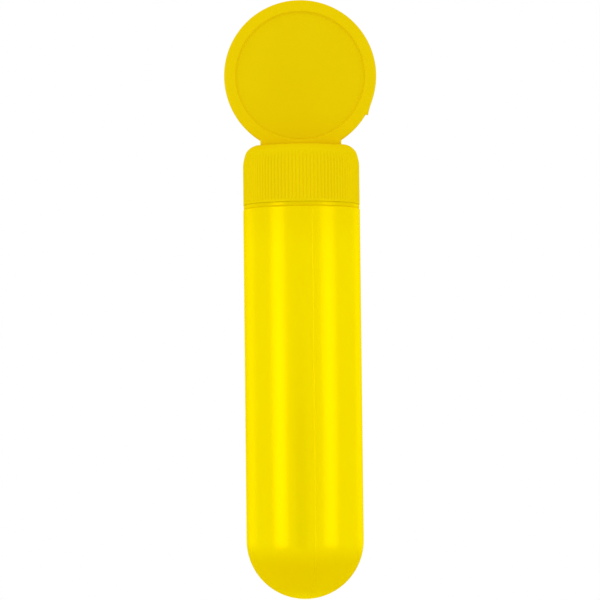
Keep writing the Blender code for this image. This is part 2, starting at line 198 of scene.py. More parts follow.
# %% Plastic material
def plastic(name, deep, pale, cloud_mm, grain_mm, grain_depth_mm, gloss, settings, drawn=1.0):
    """Polypropylene whose pigment drifts between two colours. The grain may be drawn out along Z."""
    material = bpy.data.materials.new(name)
    material.use_nodes = True
    tree = material.node_tree
    shader = tree.nodes["Principled BSDF"]
    place = add(tree, "ShaderNodeTexCoord").outputs["Object"]
    clouds = add(tree, "ShaderNodeTexNoise", inputs={
        "Vector": place, "Scale": 1 / (cloud_mm * MM), "Detail": 2.0,
    }).outputs["Fac"]
    pigment = add(tree, "ShaderNodeMix", {"data_type": "RGBA"}, {
        "Factor": clouds, 6: colour(deep), 7: colour(pale),
    }).outputs[2]
    along = add(tree, "ShaderNodeVectorMath", {"operation": "MULTIPLY"}, {0: place, 1: (1, 1, 1 / drawn)})
    grain = add(tree, "ShaderNodeTexNoise", inputs={
        "Vector": along.outputs[0], "Scale": 1 / (grain_mm * MM), "Detail": 3.0, "Roughness": 0.6,
    }).outputs["Fac"]
    rough = add(tree, "ShaderNodeMapRange", inputs={
        "Value": grain, "From Min": 0.3, "From Max": 0.7, "To Min": gloss[0], "To Max": gloss[1],
    }).outputs["Result"]
    bump = add(tree, "ShaderNodeBump", inputs={
        "Height": grain, "Distance": grain_depth_mm * MM, "Strength": 1.0,
    }).outputs["Normal"]
    tree.links.new(pigment, shader.inputs["Base Color"])
    tree.links.new(rough, shader.inputs["Roughness"])
    tree.links.new(bump, shader.inputs["Normal"])
    for socket, value in settings.items():
        shader.inputs[socket].default_value = value
    return material


# %% [markdown]
# ## Five finishes
#
# The bottle's waves are wide, very shallow and drawn out along the tube, as the hot tube stretched. So
# they streak the highlights and leave the outline straight. The cap and the disc have the same pigment
# over a grain of 0.4 mm, somewhat coarser than the real 0.1 mm so that it shows.

# %% Finishes
YELLOW_EDGE = colour("ffe600")
BLOWN = {
    "IOR": 1.49,
    "Metallic": 0.16,
    "Specular Tint": YELLOW_EDGE,
    "Specular IOR Level": 0.0,
    "Subsurface Weight": 0.35,
    "Subsurface Radius": (1.0, 0.8, 0.05),
    "Subsurface Scale": 1.2 * MM,
}
MOULDED = {
    "IOR": 1.49,
    "Metallic": 0.1,
    "Specular Tint": YELLOW_EDGE,
    "Specular IOR Level": 0.0,
}

blown_polypropylene = plastic(
    "blown polypropylene, glossy yellow", "f9de00", "fde300",
    cloud_mm=30, grain_mm=6, grain_depth_mm=0.045, gloss=(0.2, 0.26), settings=BLOWN, drawn=9,
)
cap_polypropylene = plastic(
    "moulded polypropylene, satin yellow cap", "ebd004", "efd504",
    cloud_mm=12, grain_mm=0.4, grain_depth_mm=0.008, gloss=(0.42, 0.52), settings=MOULDED,
)
disc_polypropylene = plastic(
    "moulded polypropylene, satin yellow disc", "ecce04", "f0d304",
    cloud_mm=14, grain_mm=0.4, grain_depth_mm=0.01, gloss=(0.46, 0.58), settings=MOULDED,
)
wand_polypropylene = plastic(
    "moulded polypropylene, satin yellow wand", "ebce00", "efd300",
    cloud_mm=10, grain_mm=0.5, grain_depth_mm=0.01, gloss=(0.34, 0.44), settings=MOULDED,
)
foam_liner = plastic(
    "foamed polyethylene, off-white", "e6e5df", "efeee9",
    cloud_mm=3, grain_mm=0.35, grain_depth_mm=0.03, gloss=(0.62, 0.75), settings={"IOR": 1.5},
)
print(len(bpy.data.materials), "materials")

# %% [markdown]
# ## Where the pigment looks deeper
#
# Some places are drawn darker by multiplying the pigment by a tone, as far as a mask says. On the bottle
# this is painted shade; on the disc it is a deeper tone over the panel.


# %% Deeper tone
def deepen(material, mask, tone):
    """Multiplies the pigment by a tone where the mask is 1."""
    tree = material.node_tree
    socket = tree.nodes["Principled BSDF"].inputs["Base Color"]
    deeper = add(tree, "ShaderNodeMix", {"data_type": "RGBA", "blend_type": "MULTIPLY"}, {
        "Factor": mask, 6: socket.links[0].from_socket, 7: colour(tone),
    })
    tree.links.new(deeper.outputs[2], socket)


def fade(tree, value, start, end, most=1.0):
    """A mask that grows smoothly from 0 at the start value to its most at the end value."""
    return add(tree, "ShaderNodeMapRange", {"interpolation_type": "SMOOTHSTEP"}, {
        "Value": value, "From Min": start, "From Max": end, "To Max": most,
    }).outputs["Result"]

# %% [markdown]
# ## Outlines with rounded corners
#
# No moulded edge is sharp. Instead of adding bevels later, every outline here is a list of corners,
# each with its own radius, and one function turns the corners into arcs. Even the bottle's half-round
# end is just a corner whose radius is the bottle's.

# %% Rounded outline
ARC_ERROR = 0.003 * MM


def rounded(corners, closed=False):
    """Points through (across, up, radius) corners, with an arc at each corner that has a radius."""
    points = []
    for i, (across, up, radius) in enumerate(corners):
        here = Vector((across, up))
        if radius == 0 or (not closed and i in (0, len(corners) - 1)):
            points.append(here)
            continue
        back = (Vector(corners[i - 1][:2]) - here).normalized()
        on = (Vector(corners[(i + 1) % len(corners)][:2]) - here).normalized()
        half = back.angle(on) / 2
        centre = here + (back + on).normalized() * radius / math.sin(half)
        first = here + back * radius / math.tan(half) - centre
        sweep = first.angle_signed(here + on * radius / math.tan(half) - centre)
        step = 2 * math.acos(1 - ARC_ERROR / radius)
        count = max(3, math.ceil(abs(sweep) / step))
        for k in range(count + 1):
            arm = first.copy()
            arm.rotate(Matrix.Rotation(-sweep * k / count, 2))
            points.append(centre + arm)
    return points


# %% [markdown]
# ## Turned solids
#
# The bottle, the cap and the seal are solids of revolution. Blender's Screw modifier can turn an
# outline, and so can the spin operator. Spin works on a bare mesh with no object to set up, so it is
# used here. Points on the axis come out as many copies, and merging them closes the poles.


# %% Turning
def piece(name, mesh, material):
    """An object made of a bmesh, smooth except where two faces meet at a clear angle."""
    bmesh.ops.recalc_face_normals(mesh, faces=mesh.faces)
    data = bpy.data.meshes.new(name)
    mesh.to_mesh(data)
    mesh.free()
    data.materials.append(material)
    data.shade_smooth()
    data.set_sharp_from_angle(angle=math.radians(40))
    made = bpy.data.objects.new(name, data)
    bpy.context.scene.collection.objects.link(made)
    return made


def turned(name, outline, steps, material, closed=False):
    """The outline turned once round Z."""
    mesh = bmesh.new()
    corners = [mesh.verts.new((max(across, 0), 0, up)) for across, up in outline]
    edges = [mesh.edges.new(pair) for pair in zip(corners, corners[1:])]
    if closed:
        edges.append(mesh.edges.new((corners[-1], corners[0])))
    bmesh.ops.spin(
        mesh, geom=corners + edges, cent=(0, 0, 0), axis=(0, 0, 1), angle=2 * math.pi,
        steps=steps, use_merge=True,
    )
    bmesh.ops.remove_doubles(mesh, verts=mesh.verts, dist=0.0005 * MM)
    return piece(name, mesh, material)


# %% [markdown]
# ## Fixing a modifier's result
#
# Booleans and Geometry Nodes are modifiers, and the finished piece must be a plain mesh. The
# dependency graph holds the piece as Blender shows it, and a new mesh from there replaces the old one.


# %% Baking and joining
def bake(made):
    """Replaces the piece's mesh with what its modifiers make of it, and removes them."""
    bpy.context.view_layer.update()
    shown = made.evaluated_get(bpy.context.evaluated_depsgraph_get())
    data = bpy.data.meshes.new_from_object(shown)
    made.modifiers.clear()
    old = made.data
    made.data = data
    bpy.data.meshes.remove(old)
    data.shade_smooth()
    data.set_sharp_from_angle(angle=math.radians(40))


def combine(made, operation, *tools):
    """Joins each tool to the piece or cuts it away, then bakes and discards the tools."""
    for tool in tools:
        step = made.modifiers.new(tool.name, "BOOLEAN")
        step.operation = operation
        step.solver = "EXACT"
        step.object = tool
    bake(made)
    for tool in tools:
        bpy.data.objects.remove(tool)


# %% [markdown]
# ## A Geometry Nodes tool
#
# Threads, ribs, seams and teeth repeat or follow a path, which is what Geometry Nodes are for. Each
# tool is a tree with named inputs. A modifier stores its values by socket identifier, so the function
# that runs a tool looks each one up by name first.


# %% Tool helpers
def new_tool(name, sizes):
    """An empty tree with a mesh in, a mesh out and an input for each named size."""
    tree = bpy.data.node_groups.new(name, "GeometryNodeTree")
    tree.interface.new_socket("Mesh", in_out="INPUT", socket_type="NodeSocketGeometry")
    for size, kind in sizes.items():
        tree.interface.new_socket(size, in_out="INPUT", socket_type="NodeSocket" + kind)
    tree.interface.new_socket("Mesh", in_out="OUTPUT", socket_type="NodeSocketGeometry")
    return tree, add(tree, "NodeGroupInput").outputs


def close_tool(tree, mesh, material):
    """Ends a tree in real geometry with its material set."""
    real = add(tree, "GeometryNodeRealizeInstances", inputs={0: mesh}).outputs[0]
    painted = add(tree, "GeometryNodeSetMaterial", inputs={"Geometry": real, "Material": material})
    add(tree, "NodeGroupOutput", inputs={0: painted.outputs[0]})


def run_tool(made, tree, sizes):
    """Runs a tool on a piece with these sizes and bakes the result."""
    step = made.modifiers.new(tree.name, "NODES")
    step.node_group = tree
    for socket in tree.interface.items_tree:
        if socket.in_out == "INPUT" and socket.name in sizes:
            step[socket.identifier] = sizes[socket.name]
    bake(made)


def math_node(tree, operation, first, second=0.0):
    """One sum on two numbers or outputs."""
    return add(tree, "ShaderNodeMath", {"operation": operation}, {0: first, 1: second}).outputs[0]


# %% [markdown]
# ## The screw thread
#
# A thread is one section swept along a helix. Its ends don't stop short: the mould lets the ridge
# sink into the wall over about a sixteenth of a turn. The tool shrinks the section near both ends, about
# a root that lies in the wall, so the crest sinks below the skin and the root never pokes through it.
# The same tool makes the neck's thread, which points out, and the cap's, which points in.

# %% Thread tool
THREAD_RUN_OUT = 4.6 * MM
THREAD_ROOT = 1.5 * MM
THREAD_CREST = 0.7 * MM
THREAD_BURY = 0.3 * MM
THREAD_END_SIZE = 0.2

thread_tool, given = new_tool("screw thread", {
    "Wall radius": "Float", "Reach": "Float", "Low end": "Float", "Pitch": "Float",
    "Turns": "Float", "Run-out": "Float", "Root": "Float", "Crest": "Float", "Material": "Material",
})
rise = math_node(thread_tool, "MULTIPLY", given["Pitch"], given["Turns"])
helix = add(thread_tool, "GeometryNodeCurveSpiral", inputs={
    "Resolution": 96, "Rotations": given["Turns"], "Start Radius": given["Wall radius"],
    "End Radius": given["Wall radius"], "Height": rise, "Reverse": True,
}).outputs[0]
along = add(thread_tool, "GeometryNodeSplineParameter").outputs["Length"]
whole = add(thread_tool, "GeometryNodeSplineLength").outputs["Length"]
from_end = math_node(thread_tool, "SUBTRACT", whole, along)
nearest = math_node(thread_tool, "MINIMUM", along, from_end)
full_size = add(thread_tool, "ShaderNodeMapRange", {"interpolation_type": "SMOOTHSTEP"}, {
    "Value": nearest, "From Max": given["Run-out"], "To Min": THREAD_END_SIZE, "To Max": 1.0,
}).outputs["Result"]
lift = add(thread_tool, "ShaderNodeCombineXYZ", inputs={"Z": given["Low end"]}).outputs[0]
placed = add(thread_tool, "GeometryNodeSetPosition", inputs={"Geometry": helix, "Offset": lift}).outputs[0]
upright = add(thread_tool, "GeometryNodeSetCurveNormal", {"mode": "Z_UP"}, {0: placed}).outputs[0]


def thread_corner(reach, width, side):
    """A corner of the section, by its distance out from the wall and its place on a width."""
    up = math_node(thread_tool, "MULTIPLY", width, side / 2)
    return add(thread_tool, "ShaderNodeCombineXYZ", inputs={"X": reach, "Y": up}).outputs[0]


section = add(thread_tool, "GeometryNodeCurvePrimitiveQuadrilateral", {"mode": "POINTS"}, {
    "Point 1": thread_corner(0.0, given["Root"], -1),
    "Point 2": thread_corner(given["Reach"], given["Crest"], -1),
    "Point 3": thread_corner(given["Reach"], given["Crest"], 1),
    "Point 4": thread_corner(0.0, given["Root"], 1),
}).outputs[0]
swept = add(thread_tool, "GeometryNodeCurveToMesh", inputs={
    "Curve": upright, "Profile Curve": section, "Scale": full_size, "Fill Caps": True,
}).outputs[0]
close_tool(thread_tool, swept, given["Material"])
print("thread tool:", len(thread_tool.nodes), "nodes")


# %% [markdown]
# ## The bottle
#
# A blown bottle is one skin: round bottom, straight tube, a low shoulder, and a neck that the mould
# squeezes from a thicker wall. Its outline is a single line from the outer pole to the inner pole,
# turned once, so the wall is a true shell of 0.9 mm and the neck is open.
#
# The shoulder is a band 1 mm tall that leans in, above a fine crease where the mould's neck insert
# meets its body. It ends just under the cap, so hardly any gap shows.

# %% Bottle body
CREASE_Z = CAP_EDGE_Z - 1.05 * MM
CREASE_DEPTH = 0.25 * MM
LIP_Z = CAP_EDGE_Z - 0.03 * MM
LIP_RADIUS = BOTTLE_RADIUS - 0.14 * MM
bottle_outline = rounded([
    (0, 0, 0),
    (BOTTLE_RADIUS, 0, BOTTLE_RADIUS),
    (BOTTLE_RADIUS, CREASE_Z - 0.2 * MM, 0.15 * MM),
    (BOTTLE_RADIUS - CREASE_DEPTH, CREASE_Z, 0.05 * MM),
    (BOTTLE_RADIUS - 0.1 * MM, CREASE_Z + 0.18 * MM, 0.1 * MM),
    (LIP_RADIUS, LIP_Z, 0.06 * MM),
    (NECK_RADIUS, LIP_Z, 0.5 * MM),
    (NECK_RADIUS, RIM_Z, 0.3 * MM),
    (NECK_BORE, RIM_Z, 0.3 * MM),
    (NECK_BORE, SHOULDER_Z - BOTTLE_WALL, 0.6 * MM),
    (BOTTLE_RADIUS - BOTTLE_WALL, SHOULDER_Z - BOTTLE_WALL, 0.6 * MM),
    (BOTTLE_RADIUS - BOTTLE_WALL, BOTTLE_WALL, BOTTLE_RADIUS - BOTTLE_WALL),
    (0, BOTTLE_WALL, 0),
])
bottle = turned("bottle_body", bottle_outline, 256, blown_polypropylene)
print("bottle body:", len(bottle.data.polygons), "faces")

# %% Painted shade under the cap and round the bottom
tree = blown_polypropylene.node_tree
place = add(tree, "ShaderNodeTexCoord").outputs["Object"]
height = add(tree, "ShaderNodeSeparateXYZ", inputs={0: place}).outputs["Z"]
# Painted shade: the tube darkens gently over the 12 mm below the crease, and fully from the crease up, on the
# shoulder band under the cap's edge.
painted_shade_below_cap = fade(tree, height, CREASE_Z - 12 * MM, CREASE_Z, 0.4)
painted_shade_on_shoulder = fade(tree, height, CREASE_Z - 0.3 * MM, CREASE_Z - 0.1 * MM)
deepen(blown_polypropylene, math_node(tree, "MAXIMUM", painted_shade_below_cap, painted_shade_on_shoulder), "f1edff")
# Painted shade: a darker belt round the bottom's rounding, full from 3.5 to 8.5 mm up, fading out by 15 mm
# and towards the tip.
rounding = fade(tree, height, 15 * MM, 8.5 * MM)
pole = fade(tree, height, -1.5 * MM, 3.5 * MM)
deepen(blown_polypropylene, math_node(tree, "MULTIPLY", rounding, pole), "f2edff")
print("the wall's tone deepens over the top 12 mm and round the bottom")

# %% [markdown]
# ## The neck's thread
#
# The tool starts from any mesh, because a modifier needs one to sit on; the tree ignores it. Reach is
# how far the ridge stands proud, and the section is buried a little in the wall, so that the Boolean
# finds a clean crossing and not two skins that touch.

# %% Neck thread
def thread(name, wall_radius, reach, low_end, material):
    """A helical ridge as a closed mesh, sunk into the wall at its root."""
    ridge = piece(name, bmesh.new(), material)
    bury = math.copysign(THREAD_BURY, reach)
    run_tool(ridge, thread_tool, {
        "Wall radius": wall_radius - bury, "Reach": reach + bury, "Low end": low_end,
        "Pitch": THREAD_PITCH, "Turns": THREAD_TURNS, "Run-out": THREAD_RUN_OUT,
        "Root": THREAD_ROOT, "Crest": THREAD_CREST, "Material": material,
    })
    return ridge


neck_thread = thread("neck_thread", NECK_RADIUS, 1.0 * MM, NECK_THREAD_Z, blown_polypropylene)
print("neck thread:", len(neck_thread.data.polygons), "faces")

# %% [markdown]
# ## Parting line and pinch-off
#
# Where the two halves of a blow mould meet, a fine line of plastic is left: down one side, under the
# bottom and up the other. At the bottom the mould also pinches the hot tube shut, which leaves a short
# thicker ridge. A texture could paint both, but a line that catches the light must stand proud.
#
# The tool sweeps a circle along the edges of whatever mesh it sits on. The path runs just under the
# skin, so only the top of the circle shows, and it grows thinner towards the bottom, where it sinks in.

# %% Bead tool
bead_tool, given = new_tool("moulded bead", {
    "Bead radius": "Float", "Sunk below": "Float", "Full above": "Float", "Material": "Material",
})
route = add(bead_tool, "GeometryNodeMeshToCurve", inputs={"Mesh": given["Mesh"]}).outputs[0]
spot = add(bead_tool, "GeometryNodeInputPosition").outputs[0]
height = add(bead_tool, "ShaderNodeSeparateXYZ", inputs={0: spot}).outputs["Z"]
swell = add(bead_tool, "ShaderNodeMapRange", {"interpolation_type": "SMOOTHSTEP"}, {
    "Value": height, "From Min": given["Sunk below"], "From Max": given["Full above"], "To Min": 0.3,
}).outputs["Result"]
circle = add(bead_tool, "GeometryNodeCurvePrimitiveCircle", inputs={
    "Resolution": 12, "Radius": given["Bead radius"],
}).outputs[0]
bead = add(bead_tool, "GeometryNodeCurveToMesh", inputs={
    "Curve": route, "Profile Curve": circle, "Scale": swell, "Fill Caps": True,
}).outputs[0]
close_tool(bead_tool, bead, given["Material"])
print("bead tool:", len(bead_tool.nodes), "nodes")

# %% [markdown]
# ## Placing the beads
#
# The mould's parting plane isn't square to the view: its line runs 10 degrees right of the middle.
# Both paths lie in that plane. The first follows the whole outline from shoulder to shoulder, and the
# second only the stretch of the round end where the pinch-off is.

# %% Parting line and pinch-off
PARTING_TURN = math.radians(-90 + 10.3)


def bead_path(name, points, radius, depth, sunk_below, full_above):
    """Sweeps a bead under these (across, up) points of the parting plane."""
    mesh = bmesh.new()
    line = [mesh.verts.new((across, 0, up)) for across, up in points]
    for pair in zip(line, line[1:]):
        mesh.edges.new(pair)
    mesh.transform(Matrix.Rotation(PARTING_TURN, 4, "Z"))
    made = piece(name, mesh, blown_polypropylene)
    run_tool(made, bead_tool, {
        "Bead radius": radius, "Sunk below": sunk_below, "Full above": full_above,
        "Material": blown_polypropylene,
    })
    print(name, len(made.data.polygons), "faces")
    return made


SEAM_DEPTH = 0.10 * MM
seam_radius = BOTTLE_RADIUS - SEAM_DEPTH
seam_top = SHOULDER_Z - 1.2 * MM
parting_line = bead_path("parting_line", rounded([
    (seam_radius, seam_top, 0),
    (seam_radius, SEAM_DEPTH, seam_radius),
    (-seam_radius, SEAM_DEPTH, seam_radius),
    (-seam_radius, seam_top, 0),
]), 0.2 * MM, SEAM_DEPTH, 1.5 * MM, 6 * MM)

PINCH_DEPTH = 0.16 * MM
pinch_arm = BOTTLE_RADIUS - PINCH_DEPTH
pinch_off = [
    bead_path("pinch_off", [
        (side * pinch_arm * math.sin(math.radians(angle)),
         BOTTLE_RADIUS - pinch_arm * math.cos(math.radians(angle)))
        for angle in range(14, 47, 2)
    ], 0.26 * MM, PINCH_DEPTH, 0.5 * MM, 1.1 * MM)
    for side in (-1, 1)
]
combine(bottle, "UNION", neck_thread, parting_line, *pinch_off)
print("bottle:", len(bottle.data.polygons), "faces")

# %% [markdown]
# ## The screw cap
#
# The cap is moulded and closed on top. Its side is upright below and leans in over the top 5 mm, then
# rounds into the top. Its shell is turned like the bottle, but with 800 steps, because the grip ribs
# are pressed into the shell next and each needs eight points across. The flat top gets rings too, so
# that the next step can bend it.

# %% Cap shell
RIB_COUNT = 100
RIB_DEPTH = 0.24 * MM
RIB_FADE = 0.3 * MM
RIB_LOW_Z = CAP_EDGE_Z + 0.45 * MM
RIB_HIGH_Z = CAP_TOP_Z - 3.2 * MM
SEAT_RADIUS = CAP_BORE - 4.0 * MM
TOP_RING_MM = 0.9
CORNER_LEAN = 1.3 * MM
CORNER_FALL = 4.8 * MM
cap_outline = rounded([
    (0, CAP_TOP_Z, 0),
    *((k * TOP_RING_MM * MM, CAP_TOP_Z, 0) for k in range(1, 11)),
    (CAP_RADIUS - CORNER_LEAN, CAP_TOP_Z, 3.6 * MM),
    (CAP_RADIUS, CAP_TOP_Z - CORNER_FALL, 8.0 * MM),
    (CAP_RADIUS, RIB_LOW_Z + 2 * RIB_FADE, 0),
    (CAP_RADIUS, RIB_LOW_Z + RIB_FADE, 0),
    (CAP_RADIUS, RIB_LOW_Z + RIB_FADE / 2, 0),
    (CAP_RADIUS, RIB_LOW_Z, 0),
    (CAP_RADIUS, CAP_EDGE_Z, 0.06 * MM),
    (CAP_BORE + 0.25 * MM, CAP_EDGE_Z, 0.1 * MM),
    (CAP_BORE, CAP_EDGE_Z + 0.25 * MM, 0),
    (CAP_BORE, SEAT_Z, 0.45 * MM),
    (SEAT_RADIUS, SEAT_Z, 0.15 * MM),
    (SEAT_RADIUS, CEILING_Z, 0.4 * MM),
    (0, CEILING_Z, 0),
])
cap = turned("screw_cap_shell", cap_outline, 8 * RIB_COUNT, cap_polypropylene)
print("cap shell:", len(cap.data.polygons), "faces")

# %% [markdown]
# ## The ridge on the cap
#
# The disc stands on a low ridge: in front of it and behind it the cap's top lies 0.85 mm lower. Along
# the disc the ridge falls 0.3 mm towards its ends. The points of the outer skin are lowered by an
# amount that grows away from the disc, and fades to nothing at the top of the ribs.


# %% Ridge
def smooth_step(value):
    """0 up to 0, 1 from 1 on, and a smooth rise between."""
    value = min(max(value, 0.0), 1.0)
    return value * value * (3 - 2 * value)


RIDGE_HALF = 1.5 * MM
RIDGE_FLANK = 4.5 * MM
RIDGE_HEIGHT = 0.85 * MM


def crown(x):
    """How far the ridge has fallen at a distance from its middle."""
    return CROWN_DROP * min(abs(x) / FOOT_HALF, 1) ** 2


for vertex in cap.data.vertices:
    x, y, z = vertex.co
    if z > CEILING_Z + 0.05 * MM or math.hypot(x, y) > CAP_BORE + 0.1 * MM:
        away = smooth_step((abs(y) - RIDGE_HALF) / RIDGE_FLANK)
        above = smooth_step((z - RIB_HIGH_Z) / (CAP_TOP_Z - 0.5 * MM - RIB_HIGH_Z))
        vertex.co.z = z - (RIDGE_HEIGHT * away + crown(x) * (1 - away)) * above
print("ridge:", round(RIDGE_HEIGHT / MM, 2), "mm tall")

# %% [markdown]
# ## Grip ribs
#
# A hundred ribs could be a hundred objects, but they are really a wave in the wall. The tool reads
# each point's angle round the axis, makes the wave from the cosine of that angle, and moves the point
# in along its normal. Rounded crests and narrow valleys come from taking the cosine without its sign.
# The wave fades out at both ends, as the cutter's run-out leaves it.

# %% Rib tool
rib_tool, given = new_tool("grip ribs", {
    "Count": "Float", "Depth": "Float", "Low end": "Float", "High end": "Float", "Fade": "Float",
    "Outside": "Float", "Material": "Material",
})
here = add(rib_tool, "GeometryNodeInputPosition").outputs[0]
parts = add(rib_tool, "ShaderNodeSeparateXYZ", inputs={0: here}).outputs
around = math_node(rib_tool, "ARCTAN2", parts["Y"], parts["X"])
half_count = math_node(rib_tool, "DIVIDE", given["Count"], 2.0)
phase = math_node(rib_tool, "MULTIPLY", around, half_count)
crest = math_node(rib_tool, "ABSOLUTE", math_node(rib_tool, "COSINE", phase))
valley = math_node(rib_tool, "SUBTRACT", 1.0, crest)
above = add(rib_tool, "ShaderNodeMapRange", {"interpolation_type": "SMOOTHSTEP"}, {
    "Value": parts["Z"], "From Min": given["Low end"],
    "From Max": math_node(rib_tool, "ADD", given["Low end"], given["Fade"]),
}).outputs["Result"]
below = add(rib_tool, "ShaderNodeMapRange", {"interpolation_type": "SMOOTHSTEP"}, {
    "Value": parts["Z"], "From Min": given["High end"],
    "From Max": math_node(rib_tool, "SUBTRACT", given["High end"], given["Fade"]),
}).outputs["Result"]
flat = add(rib_tool, "ShaderNodeVectorMath", {"operation": "MULTIPLY"}, {0: here, 1: (1, 1, 0)})
reach = add(rib_tool, "ShaderNodeVectorMath", {"operation": "LENGTH"}, {0: flat.outputs[0]}).outputs["Value"]
outside = math_node(rib_tool, "GREATER_THAN", reach, given["Outside"])
amount = math_node(rib_tool, "MULTIPLY", valley, given["Depth"])
for share in (above, below, outside, -1.0):
    amount = math_node(rib_tool, "MULTIPLY", amount, share)
normal = add(rib_tool, "GeometryNodeInputNormal").outputs[0]
press = add(rib_tool, "ShaderNodeVectorMath", {"operation": "SCALE"}, {0: normal, "Scale": amount}).outputs[0]
ribbed = add(rib_tool, "GeometryNodeSetPosition", inputs={"Geometry": given["Mesh"], "Offset": press})
close_tool(rib_tool, ribbed.outputs[0], given["Material"])

run_tool(cap, rib_tool, {
    "Count": float(RIB_COUNT), "Depth": RIB_DEPTH, "Low end": RIB_LOW_Z, "High end": RIB_HIGH_Z,
    "Fade": RIB_FADE, "Outside": CAP_BORE + 0.5 * MM, "Material": cap_polypropylene,
})
print("ribbed shell:", [round(side / MM, 2) for side in cap.dimensions])

# %% [markdown]
# ## Inside the cap
#
# Under the ceiling hang a flat-sided boss, which takes the disc's tongue, and below it a round socket
# with a groove, into which the wand's plug snaps. Both are joined to the shell with a Boolean, and the
# tongue's pocket is cut last, so that it also goes through the cap's top.

# %% Bosses, pocket and thread of the cap
TONGUE_WIDTH = 12.0 * MM
TONGUE_THICKNESS = 1.8 * MM
TONGUE_END_Z = FOOT_Z - 2.8 * MM
SNUG = 0.1 * MM
BOSS_END_Z = TONGUE_END_Z - SNUG - 1.05 * MM
SOCKET_END_Z = BOSS_END_Z - 5.0 * MM
SOCKET_ROOF_Z = BOSS_END_Z - 0.8 * MM
PLUG_RADIUS = 1.9 * MM
SNAP_Z = SOCKET_END_Z + 2.2 * MM
OVERLAP = 0.5 * MM


def block(name, size, low_z, high_z, edge, material):
    """A box on the axis with rounded edges."""
    mesh = bmesh.new()
    place = Matrix.Translation((0, 0, (low_z + high_z) / 2)) @ Matrix.Diagonal((*size, high_z - low_z, 1))
    bmesh.ops.create_cube(mesh, size=1, matrix=place)
    bmesh.ops.bevel(mesh, geom=mesh.edges, offset=edge, segments=3, profile=0.5, affect="EDGES")
    return piece(name, mesh, material)


pocket_boss = block(
    "pocket_boss", (TONGUE_WIDTH + 2.6 * MM, 6.1 * MM), BOSS_END_Z, CEILING_Z + OVERLAP, 0.3 * MM,
    cap_polypropylene,
)
bore = PLUG_RADIUS + SNUG
socket_boss = turned("socket_boss", rounded([
    (0, BOSS_END_Z + OVERLAP, 0),
    (bore + 1.3 * MM, BOSS_END_Z + OVERLAP, 0),
    (bore + 1.3 * MM, SOCKET_END_Z, 0.25 * MM),
    (bore, SOCKET_END_Z, 0.2 * MM),
    (bore, SNAP_Z - 0.3 * MM, 0.1 * MM),
    (bore + 0.3 * MM, SNAP_Z, 0.15 * MM),
    (bore, SNAP_Z + 0.3 * MM, 0.1 * MM),
    (bore, SOCKET_ROOF_Z, 0.15 * MM),
    (0, SOCKET_ROOF_Z, 0),
]), 64, cap_polypropylene)
cap_thread = thread("cap_thread", CAP_BORE, -1.0 * MM, CAP_THREAD_Z, cap_polypropylene)
combine(cap, "UNION", pocket_boss, socket_boss, cap_thread)
pocket = block(
    "pocket", (TONGUE_WIDTH + 2 * SNUG, TONGUE_THICKNESS + 2 * SNUG), TONGUE_END_Z - SNUG,
    CAP_TOP_Z + OVERLAP, 0.08 * MM, cap_polypropylene,
)
combine(cap, "DIFFERENCE", pocket)
print("cap:", len(cap.data.polygons), "faces")

# %% [markdown]
# ## The sealing ring
#
# A flat ring of soft foam seals the neck. It is punched from sheet, so its edges are only slightly
# rounded by the cut, and its outline is a closed one that never reaches the axis.

# %% Sealing ring
ring_hole = 8.26 * MM
sealing_ring = turned("foam_sealing_ring", rounded([
    (ring_hole, ring_low.z, 0.12 * MM),
    (ring_high.x, ring_low.z, 0.12 * MM),
    (ring_high.x, ring_high.z, 0.2 * MM),
    (ring_hole, ring_high.z, 0.2 * MM),
], closed=True), 128, foam_liner, closed=True)
print("ring:", [round(side / MM, 2) for side in sealing_ring.dimensions])

# %% [markdown]
# ## The grip disc
#
# The disc is a shape whose outline follows a rule: a circle of 19 mm radius, cut where it meets the cap,
# with a short square foot. Written as a distance from the centre for each angle, the rule is three
# cases. The same section, a sunk panel, a raised rim and a rounded edge, is then laid along every
# angle, so each step of the panel stays a true circle while only the rim's outer end follows the rule.
#
# A fine groove runs round the panel at the foot of its step. At the foot of the disc the edge is drawn
# in over a longer stretch, which shades it softly where it meets the cap.

# %% Disc outline
PANEL_RADIUS = DISC_RADIUS - 2.95 * MM
PANEL_SINK = 0.4 * MM
GATE_TIP = math.radians(-30.6)
GATE_START = GATE_TIP + math.radians(13)
GATE_PROUD = 0.6 * MM
EDGE_STEPS = 6


def disc_reach(angle):
    """Distance from the disc's centre to its edge, at an angle up from +X."""
    down = abs(math.remainder(angle + math.pi / 2, 2 * math.pi))
    if down >= math.asin(FOOT_HALF / DISC_RADIUS):
        return DISC_RADIUS
    drop = DISC_CENTRE_Z - FOOT_Z
    if down > math.atan(FOOT_HALF / (drop + CROWN_DROP)):
        return FOOT_HALF / math.sin(down)
    reach = drop / math.cos(down)
    for _ in range(3):  # each round moves the edge closer to the crowned ridge
        reach = (drop + crown(reach * math.sin(down))) / math.cos(down)
    return reach


def gate_height(angle):
    """How far the trace of the moulding gate stands proud of the edge."""
    if GATE_TIP <= angle <= GATE_START:
        return GATE_PROUD * ((GATE_START - angle) / (GATE_START - GATE_TIP)) ** 3
    return 0.0


def disc_edge(angle):
    """The front half of the edge: a quarter of an ellipse, then the gate's trace."""
    edge = disc_reach(angle)
    down = abs(math.remainder(angle + math.pi / 2, 2 * math.pi))
    at_foot = smooth_step((math.radians(34) - down) / math.radians(4))
    across = min((0.5 + 0.8 * at_foot) * MM, edge - PANEL_RADIUS - 0.35 * MM)
    deep = (0.5 - 0.38 * at_foot) * MM
    turns = [math.pi / 2 * k / EDGE_STEPS for k in range(EDGE_STEPS + 1)]
    arc = [
        (edge - across * (1 - math.sin(turn)), -DISC_HALF + deep * (1 - math.cos(turn))) for turn in turns
    ]
    return arc + [(edge, -0.6 * MM), (edge + gate_height(angle), -0.5 * MM)]


print("foot", round(2 * FOOT_HALF / MM, 2), "mm wide, gate", round(GATE_PROUD / MM, 2), "mm proud")

